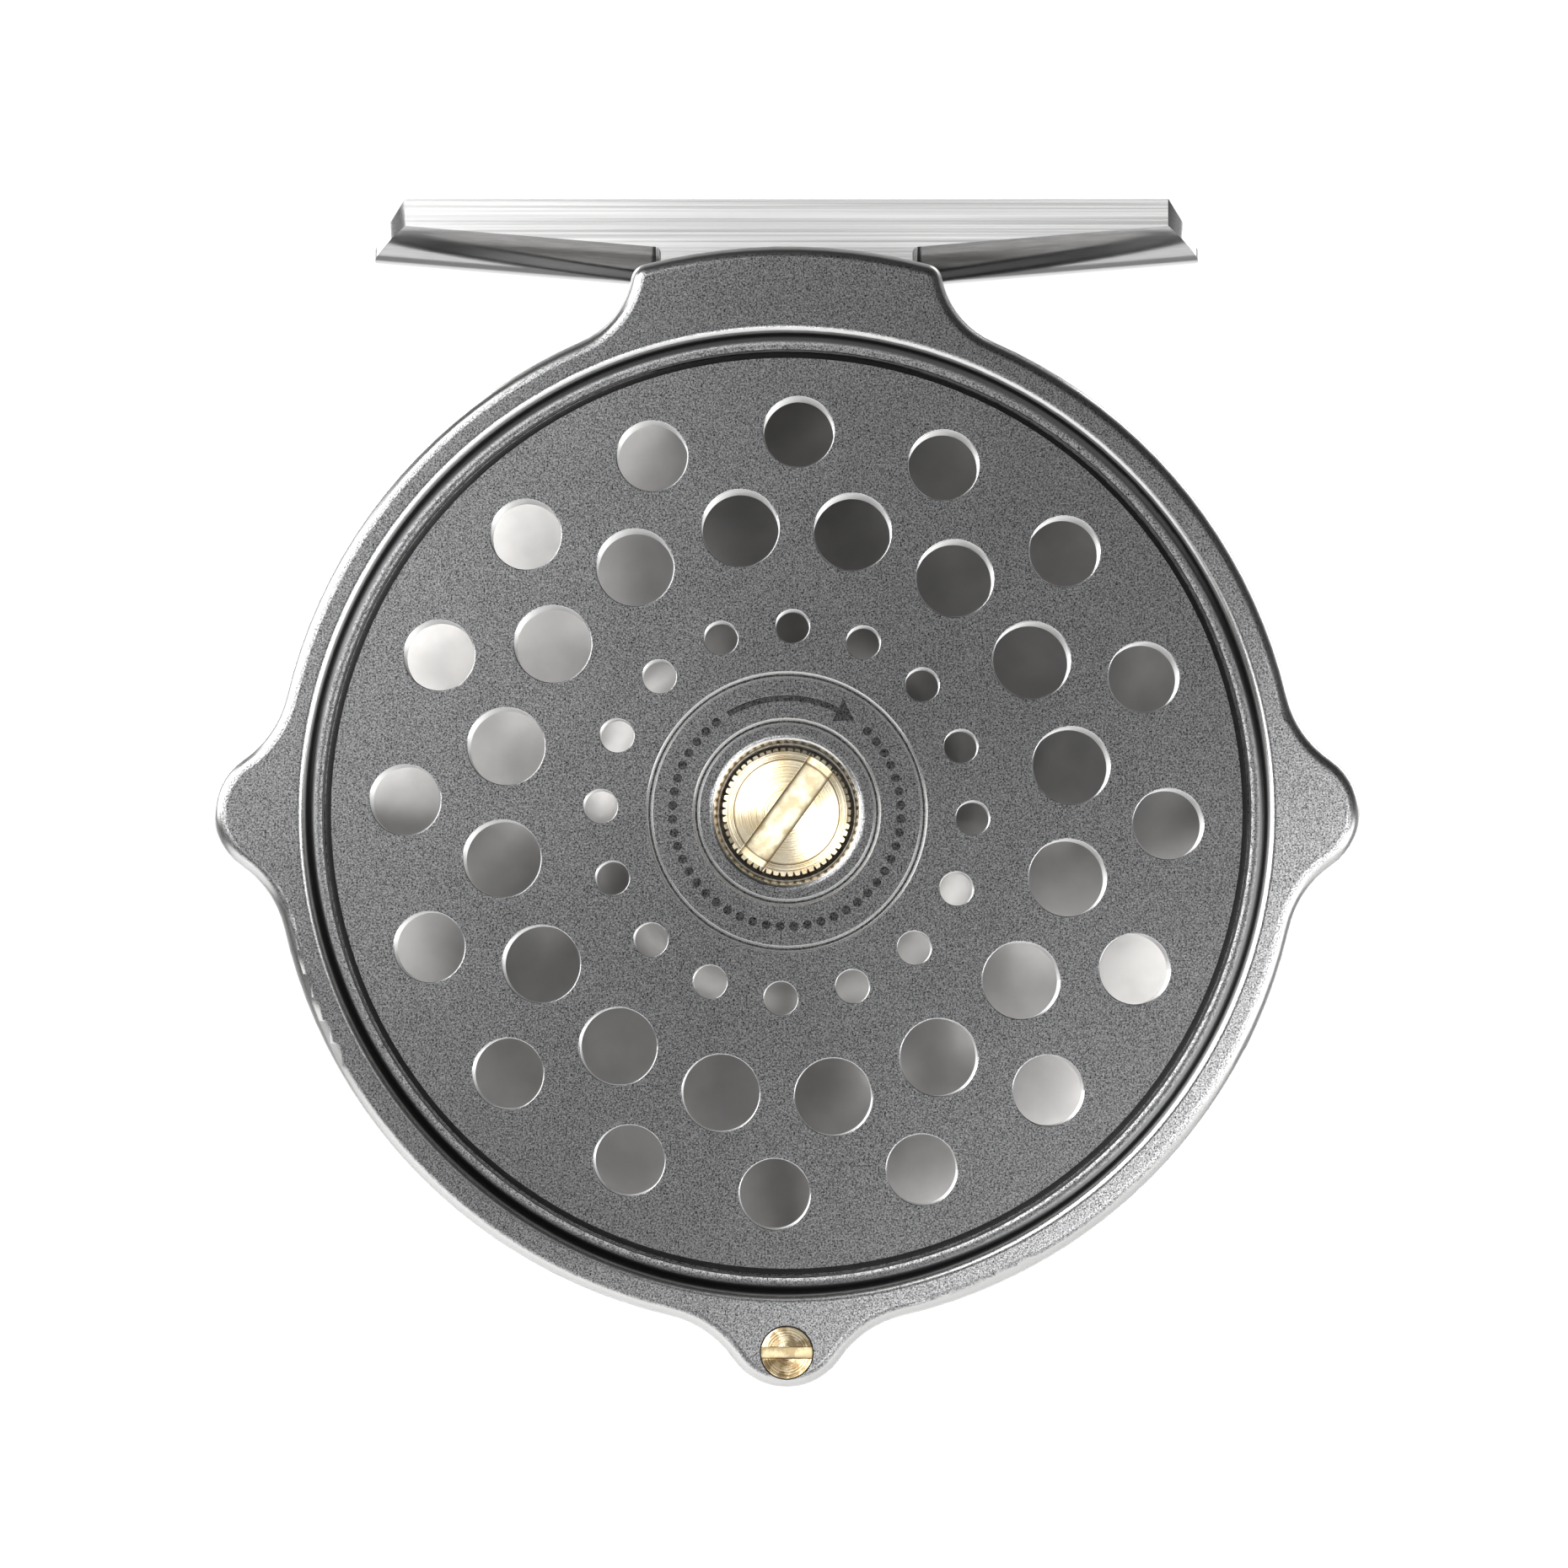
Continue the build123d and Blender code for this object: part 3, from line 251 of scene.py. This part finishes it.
    def along_bore(self):
        """Direction in a bored wall that runs along the bore, across its tool marks."""
        axis = self.add("ShaderNodeCombineXYZ")
        self.plug(axis.inputs[1], 1.0)
        side = self.add("ShaderNodeVectorMath", operation="CROSS_PRODUCT")
        self.plug(side.inputs[0], self.normal)
        self.plug(side.inputs[1], axis.outputs[0])
        along = self.add("ShaderNodeVectorMath", operation="CROSS_PRODUCT")
        self.plug(along.inputs[0], side.outputs[0])
        self.plug(along.inputs[1], self.normal)
        turn = self.add(
            "ShaderNodeVectorTransform", vector_type="VECTOR", convert_from="OBJECT", convert_to="WORLD"
        )
        self.plug(turn.inputs[0], along.outputs[0])
        return turn.outputs[0]

    def radius(self, x=0.0, z=0.0):
        """Distance from the line along Y through (x, z)."""
        across = self.math("SUBTRACT", self.x, x)
        up = self.math("SUBTRACT", self.z, z)
        squares = self.math("ADD", self.math("MULTIPLY", across, across), self.math("MULTIPLY", up, up))
        return self.math("SQRT", squares)

    def facing(self, axis):
        """How squarely the surface faces along an axis, either way."""
        parts = self.add("ShaderNodeSeparateXYZ")
        self.plug(parts.inputs[0], self.normal)
        return self.math("ABSOLUTE", parts.outputs["XYZ".index(axis)])

    def across_marks(self, x=0.0, z=0.0):
        """Direction in the surface that crosses turning marks round the line along Y through (x, z)."""
        round_about = self.add("ShaderNodeCombineXYZ")
        self.plug(round_about.inputs[0], self.math("SUBTRACT", self.z, z))
        self.plug(round_about.inputs[2], self.math("SUBTRACT", x, self.x))
        cross = self.add("ShaderNodeVectorMath", operation="CROSS_PRODUCT")
        self.plug(cross.inputs[0], self.normal)
        self.plug(cross.inputs[1], round_about.outputs[0])
        unit = self.add("ShaderNodeVectorMath", operation="NORMALIZE")
        self.plug(unit.inputs[0], cross.outputs[0])
        turn = self.add(
            "ShaderNodeVectorTransform", vector_type="VECTOR", convert_from="OBJECT", convert_to="WORLD"
        )
        self.plug(turn.inputs[0], unit.outputs[0])
        return turn.outputs[0]


def dark_anodised(name, lean=(0.0, 0.0, 0.0), bright_lines=(), cove=False):
    """Pewter-grey anodising: bead-blasted flats, smooth chamfers and bores; without cove, smooth surfaces out
    at the rim are painted darker as shade. lean is how the flats' normals lean, bright_lines are radii, in
    mm, of painted highlight lines, which also bring painted shade into the engraved floors, and cove adds the
    front ring's turned cove with its painted shade."""
    g = Graph(name)
    facing = g.facing("Y")
    base_normal = g.add("ShaderNodeNewGeometry").outputs["Normal"]
    if cove:
        in_cove, facing, base_normal = g.cove_surface(facing, base_normal)
    blasted = g.remap(facing, 0.86, FLAT_NORMAL)
    # Painted highlight: on thin lines at the given radii the flat takes the smooth grey and finish in place
    # of the blasted one
    if bright_lines:
        blasted = g.math("MULTIPLY", blasted, g.off_lines(bright_lines))
    wall = g.remap(facing, 0.6, 0.2)
    grain = g.noise(BLASTED_GRAIN, detail=2.5, roughness=0.75)
    cloud = g.noise(0.006, detail=2.0)
    speck = g.remap(grain, 0.33, 0.67, 0.0, 2.0, smooth=False)
    tone = g.math("MULTIPLY", speck, g.remap(cloud, 0.3, 0.7, 0.97, 1.03))
    tone = g.blend(blasted, 1.0, tone)
    if cove:
        # Painted shade: on its lip side the cove takes the darkening greys in place of the smooth or blasted
        # grey
        recess_shade = g.cove_painted_shade()
        lip_side = g.math("LESS_THAN", g.radius(), COVE_DARKEST * MM)
        colour = g.mix(blasted, g.mix(in_cove, SMOOTH_GREY, recess_shade), BLASTED_GREY)
        colour = g.mix(g.math("MULTIPLY", in_cove, lip_side), colour, recess_shade)
    else:
        # Painted shade: smooth surfaces beyond the rim radius take a darker grey than the smooth grey inside
        # it
        on_rim = g.math("GREATER_THAN", g.radius(), RIM_START * MM)
        colour = g.mix(blasted, g.mix(on_rim, SMOOTH_GREY, RIM_SHADE_GREY), BLASTED_GREY)
    if bright_lines:
        # Painted shade: the engraved floors are coloured near-black
        colour = g.mix(g.math("MULTIPLY", g.engraved_floor(), blasted), colour, ENGRAVED_SHADE_GREY)
    shade = g.add("ShaderNodeVectorMath", operation="SCALE")
    g.plug(shade.inputs[0], colour)
    g.plug(shade.inputs["Scale"], tone)
    fine = g.noise(0.0002, detail=2.0)
    height = g.blend(blasted, g.math("MULTIPLY", fine, 0.1), grain)
    g.set(
        Base_Color=shade.outputs[0],
        Metallic=1.0,
        Roughness=g.blend(blasted, g.blend(wall, 0.26, 0.6), BLASTED_ROUGHNESS),
        Anisotropic=g.math("MULTIPLY", wall, 0.92),
        Tangent=g.along_bore(),
        Normal=g.bump(height, 0.000008, 0.6, under=g.leaning(*lean, under=base_normal)),
    )
    return g.material


def turned_metal(name, colour, roughness=0.45, groove=0.00007, depth=0.0000012, anisotropy=0.92):
    """Lathe-turned metal, with marks round the spool's axis."""
    g = Graph(name)
    radius = g.radius()
    marks = g.line_noise(g.math("ADD", radius, g.math("MULTIPLY", g.y, 0.7)), groove, detail=3.0)
    grit = g.noise(0.00012, detail=2.0)
    stain = g.noise(0.004, detail=3.0)
    light = tuple(min(1.0, c * 1.06) for c in colour)
    dark = tuple(c * 0.86 for c in colour)
    tone = g.mix(g.remap(stain, 0.3, 0.7), dark, light)
    g.set(
        Base_Color=tone,
        Metallic=1.0,
        Roughness=g.remap(grit, 0.3, 0.7, roughness * 0.88, roughness * 1.15),
        Anisotropic=anisotropy,
        Tangent=g.across_marks(),
        Normal=g.bump(marks, depth),
    )
    return g.material


def plain_metal(name, colour, roughness=0.25, scratch=0.00015):
    """Ground or polished metal with faint scratches and stains."""
    g = Graph(name)
    fine = g.noise(scratch, detail=3.0, stretch=(1, 3, 1))
    stain = g.noise(0.002, detail=3.0)
    light = tuple(min(1.0, c * 1.05) for c in colour)
    dark = tuple(c * 0.8 for c in colour)
    g.set(
        Base_Color=g.mix(g.remap(stain, 0.3, 0.7), dark, light),
        Metallic=1.0,
        Roughness=g.remap(fine, 0.3, 0.7, roughness * 0.75, roughness * 1.3),
        Normal=g.bump(fine, 0.000004),
    )
    return g.material


def foot_metal(name):
    """Milled sides with lines along the foot, a polished underside and ends."""
    g = Graph(name)
    side = g.remap(g.facing("Y"), 0.9, 0.99)
    lines = g.noise(0.00013, detail=3.0, stretch=(400, 1, 1))
    fine = g.noise(0.0003, detail=2.0, stretch=(12, 1, 1))
    g.set(
        Base_Color=g.mix(g.remap(lines, 0.3, 0.7), (0.42, 0.42, 0.418), (0.50, 0.50, 0.498)),
        Metallic=1.0,
        Roughness=g.blend(side, 0.13, g.remap(lines, 0.3, 0.7, 0.3, 0.4)),
        Normal=g.bump(g.blend(side, g.math("MULTIPLY", fine, 0.2), lines), 0.00001, 0.35),
    )
    return g.material


def resin(name):
    """Polished ivory-coloured resin with faint growth lines."""
    g = Graph(name)
    lines = g.noise(0.0011, detail=3.0, stretch=(1, 7, 1), distortion=0.4)
    g.set(
        Base_Color=g.mix(g.remap(lines, 0.35, 0.7), (0.86, 0.79, 0.62), (0.78, 0.69, 0.50)),
        Roughness=g.remap(lines, 0.3, 0.7, 0.16, 0.24),
        Normal=g.bump(lines, 0.000008),
    )
    g.set(Subsurface_Weight=0.12, Coat_Weight=0.3, Coat_Roughness=0.06)
    return g.material


def slotted_brass(name, slot, dish=None, rim=None):
    """Brass screw head turned round its own centre, with a pale scratched slot floor whose edges along the
    walls are painted dark as shade. dish is the radius of the turned line on it, painted as a dark line of
    shade, and rim, if given, browns the head with stains and is the radius beyond which it is painted
    near-black as shade of the gap round it, both in mm."""
    centre_x, centre_z, half_width = (length * MM for length in slot[:3])
    g = Graph(name)
    radius = g.radius(centre_x, centre_z)
    turn = math.radians(slot[3])
    across = g.math(
        "ABSOLUTE",
        g.math(
            "SUBTRACT",
            g.math("MULTIPLY", g.math("SUBTRACT", g.z, centre_z), math.cos(turn)),
            g.math("MULTIPLY", g.math("SUBTRACT", g.x, centre_x), math.sin(turn)),
        ),
    )
    in_slot = g.math("LESS_THAN", across, half_width * 1.02)
    floor_edge_shade = g.remap(across, half_width * 0.72, half_width * 0.98)
    marks = g.line_noise(radius, 0.0001, detail=3.0)
    stain = g.noise(0.0022, detail=4.0, roughness=0.6)
    blot = g.noise(0.0009, detail=3.0)
    scratch = g.noise(0.00022, detail=3.0, stretch=(3, 1, 1), roughness=0.7)
    face = g.mix(g.remap(stain, 0.35, 0.68), (0.90, 0.80, 0.60), (0.80, 0.64, 0.40))
    bare = g.mix(g.remap(blot, 0.35, 0.65), (0.74, 0.68, 0.50), (0.50, 0.42, 0.27))
    # Painted shade: the slot floor darkens towards its walls
    bare = g.mix(floor_edge_shade, bare, (0.12, 0.09, 0.05))
    tone = g.mix(in_slot, face, bare)
    turned = g.remap(marks, 0.3, 0.7, 0.2, 0.34)
    worn = g.remap(scratch, 0.3, 0.7, 0.38, 0.6)
    height = g.blend(in_slot, marks, g.math("MULTIPLY", scratch, 3.0))
    if dish is not None:
        # Painted shade: a thin dark line at the dish radius for the turned groove there
        ring = g.math("ABSOLUTE", g.math("SUBTRACT", radius, dish * MM))
        line = g.remap(ring, 0.00003, 0.0001, 1.0, 0.0)
        tone = g.mix(g.math("MULTIPLY", line, 0.75), tone, (0.2, 0.14, 0.07))
    if rim is not None:
        tarnish = g.mix(g.remap(blot, 0.42, 0.58), (0.30, 0.21, 0.09), (1.0, 0.96, 0.88))
        aged = g.add("ShaderNodeMix", data_type="RGBA", blend_type="MULTIPLY")
        g.plug(aged.inputs["Factor"], 0.75)
        g.plug(aged.inputs[6], tone)
        g.plug(aged.inputs[7], tarnish)
        # Painted shade: beyond the rim radius the head goes near-black, for the gap round it
        tone = g.mix(g.remap(radius, (rim - 0.12) * MM, rim * MM), aged.outputs[2], (0.02, 0.015, 0.008))
    g.set(
        Base_Color=tone,
        Metallic=1.0,
        Roughness=g.blend(in_slot, turned, worn),
        Anisotropic=g.blend(in_slot, 0.85, 0.0),
        Tangent=g.across_marks(centre_x, centre_z),
        Normal=g.bump(height, 0.0000022),
    )
    return g.material


SLOT_MATERIALS = {
    "dark_anodised": dark_anodised("dark_anodised_blasted"),
    "bright_turned": turned_metal("bright_turned", (0.46, 0.45, 0.44), roughness=0.38, anisotropy=0.93),
    "foot_aluminium": foot_metal("foot_milled"),
    "brass": turned_metal("brass_turned", (0.80, 0.62, 0.32), roughness=0.3, groove=0.00009),
    "nickel_silver": plain_metal("nickel_silver_polished", (0.72, 0.70, 0.64), 0.18),
    "steel": plain_metal("steel_ground", (0.55, 0.55, 0.56), 0.26),
    "spring_steel": plain_metal("spring_blued", (0.16, 0.18, 0.24), 0.3),
    "ivory_resin": resin("ivory_resin"),
}


OWN_MATERIALS = {
    "front_ring": dark_anodised("front_ring_blasted", RING_LEAN, cove=True),
    "drum_face": dark_anodised("drum_face_blasted", DRUM_LEAN, ENGRAVED_LINES),
    "drum_screw": slotted_brass("drum_screw_brass", DRUM_SCREW_SLOT, DRUM_SCREW_DISH),
    "guard_screw_front": slotted_brass("guard_screw_brass", GUARD_SCREW_SLOT, rim=GUARD_SCREW_SHADE_RIM),
}


def dress_nodes():
    for row in frame["record"]["subparts"]:
        node = frame["nodes"][row["node"]]
        node.data.materials.clear()
        node.data.materials.append(OWN_MATERIALS.get(row["node"], SLOT_MATERIALS[row["material_slot"]]))


def aim(thing, target, up="Y"):
    direction = Vector(target) - thing.location
    thing.rotation_mode = "QUATERNION"
    thing.rotation_quaternion = direction.to_track_quat("-Z", up)


def make_camera():
    data = bpy.data.cameras.new("camera")
    data.lens = CAMERA_LENS
    data.sensor_width = 36.0
    data.clip_start = 0.01
    data.clip_end = 20.0
    camera = bpy.data.objects.new("camera", data)
    bpy.context.scene.collection.objects.link(camera)
    camera.location = (CAMERA_SIDE, CAMERA_AIM.y - CAMERA_DISTANCE, -CAMERA_DROP)
    aim(camera, CAMERA_AIM)
    bpy.context.scene.camera = camera


def from_object(azimuth, off_axis):
    """Direction from the object: azimuth is round the spool's axis (0 right, 90 up), off_axis away from
    the camera's side."""
    a = math.radians(azimuth)
    o = math.radians(off_axis)
    return Vector((math.cos(a) * math.sin(o), -math.cos(o), math.sin(a) * math.sin(o)))


def softbox(name, azimuth, off_axis, distance, width, depth, radiance):
    """Rectangular light facing the object; width runs round the spool's axis, depth towards the camera."""
    data = bpy.data.lights.new(name, "AREA")
    data.shape = "RECTANGLE"
    data.size = width
    data.size_y = depth
    data.energy = radiance * math.pi * width * depth
    light = bpy.data.objects.new(name, data)
    bpy.context.scene.collection.objects.link(light)
    outward = from_object(azimuth, off_axis)
    light.location = distance * outward
    along = Vector((-math.sin(math.radians(azimuth)), 0.0, math.cos(math.radians(azimuth))))
    up = outward.cross(along)
    light.rotation_mode = "QUATERNION"
    light.rotation_quaternion = Matrix((along, up, outward)).transposed().to_quaternion()
    light.visible_camera = False


def make_world():
    """Mostly dim surroundings that the metal reflects, and a white backdrop that only the camera sees."""
    world = bpy.data.worlds.new("studio")
    bpy.context.scene.world = world
    world.use_nodes = True
    tree = world.node_tree
    background = tree.nodes["Background"]
    place = tree.nodes.new("ShaderNodeTexCoord")
    parts = tree.nodes.new("ShaderNodeSeparateXYZ")
    tree.links.new(place.outputs["Generated"], parts.inputs[0])
    ramp = tree.nodes.new("ShaderNodeValToRGB")
    level = tree.nodes.new("ShaderNodeMapRange")
    tree.links.new(parts.outputs["Y"], level.inputs[0])
    level.inputs[1].default_value = -1.0
    level.inputs[2].default_value = 1.0
    tree.links.new(level.outputs[0], ramp.inputs[0])
    stops = ramp.color_ramp.elements
    for position, grey in WORLD_GREYS:
        stop = stops[0] if position == 0.0 else stops[1] if position == 1.0 else stops.new(position)
        stop.color = (grey, grey, grey, 1.0)
    tree.links.new(ramp.outputs[0], background.inputs["Color"])
    background.inputs["Strength"].default_value = WORLD_STRENGTH
    backdrop = tree.nodes.new("ShaderNodeBackground")
    backdrop.inputs["Color"].default_value = (1.0, 1.0, 1.0, 1.0)
    backdrop.inputs["Strength"].default_value = WORLD_STRENGTH
    path = tree.nodes.new("ShaderNodeLightPath")
    seen = tree.nodes.new("ShaderNodeMixShader")
    tree.links.new(path.outputs["Is Camera Ray"], seen.inputs[0])
    tree.links.new(background.outputs[0], seen.inputs[1])
    tree.links.new(backdrop.outputs[0], seen.inputs[2])
    tree.links.new(seen.outputs[0], tree.nodes["World Output"].inputs["Surface"])


def make_stage():
    bpy.ops.mesh.primitive_circle_add(vertices=96, radius=0.55, fill_type="NGON", location=(0, 0, -0.3))
    floor = bpy.context.object
    floor.name = "floor"
    g = Graph("pale_floor")
    dust = g.noise(0.02, detail=3.0)
    g.set(
        Base_Color=g.mix(g.remap(dust, 0.3, 0.7), (0.80, 0.80, 0.80), (0.84, 0.84, 0.84)),
        Roughness=0.8,
    )
    floor.data.materials.append(g.material)


def make_lights():
    softbox("left_light", 154, 40, 0.62, 0.56, 0.5, 8.0)
    softbox("right_light", 317, 40, 0.62, 0.56, 0.5, 8.5)
    softbox("left_side_light", 165, 82, 0.62, 0.5, 0.3, 2.5)
    softbox("right_side_light", 330, 82, 0.62, 0.5, 0.3, 2.5)
    softbox("back_left_light", 150, 135, 0.8, 0.7, 0.5, 5.0)
    softbox("back_right_light", 35, 135, 0.8, 0.7, 0.5, 4.0)


dress_nodes()
make_camera()
make_world()
make_stage()
make_lights()
bpy.context.scene.view_settings.view_transform = "Standard"
